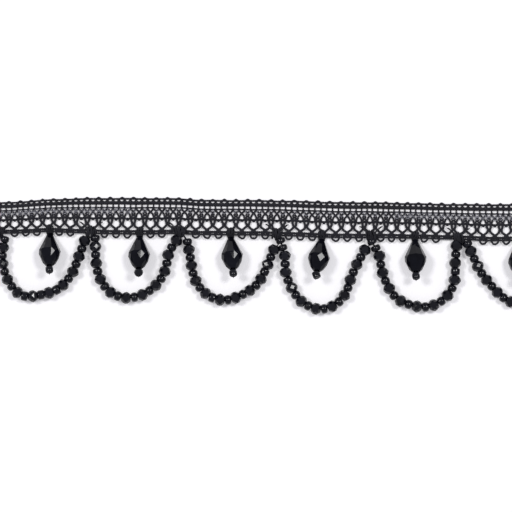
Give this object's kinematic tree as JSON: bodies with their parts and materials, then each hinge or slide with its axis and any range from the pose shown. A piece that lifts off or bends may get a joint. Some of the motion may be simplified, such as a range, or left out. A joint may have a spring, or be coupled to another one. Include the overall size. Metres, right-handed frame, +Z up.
{
  "type": "beaded lace trim",
  "caption": "Cut length of open crocheted lace band edged with scalloped strings of glass beads, a faceted drop hanging inside each scallop, laid flat.",
  "frame": {"origin": "on the underside of the lace band's heading, at the middle of the trim's length", "axes": "+X along the trim's length, -Y toward the bead swags, +Z up off the surface that it lies on"},
  "size_m": [0.2132, 0.043, 0.0077],
  "materials": {
    "lace_yarn": "matt black polyester yarn with a soft sheen",
    "bead_glass": "opaque black glass, fire polished",
    "drop_glass": "opaque black glass with cut, polished facets",
    "sewing_thread": "matt black sewing thread"
  },
  "bodies": {
    "root": {"lace_band": "lace_yarn", "swag_a": "bead_glass", "swag_b": "bead_glass", "swag_c": "bead_glass", "swag_d": "bead_glass", "swag_e": "bead_glass", "swag_f": "bead_glass", "drop_a": "drop_glass", "drop_b": "drop_glass", "drop_c": "drop_glass", "drop_d": "drop_glass", "drop_e": "drop_glass", "drop_f": "drop_glass", "stop_bead_a": "bead_glass", "stop_bead_b": "bead_glass", "stop_bead_c": "bead_glass", "stop_bead_d": "bead_glass", "stop_bead_e": "bead_glass", "stop_bead_f": "bead_glass", "drop_tie_a": "sewing_thread", "drop_tie_b": "sewing_thread", "drop_tie_c": "sewing_thread", "drop_tie_d": "sewing_thread", "drop_tie_e": "sewing_thread", "drop_tie_f": "sewing_thread", "junction_tie_1": "sewing_thread", "junction_tie_2": "sewing_thread", "junction_tie_3": "sewing_thread", "junction_tie_4": "sewing_thread", "junction_tie_5": "sewing_thread", "junction_tie_6": "sewing_thread", "junction_tie_7": "sewing_thread"}
  },
  "joints": []
}
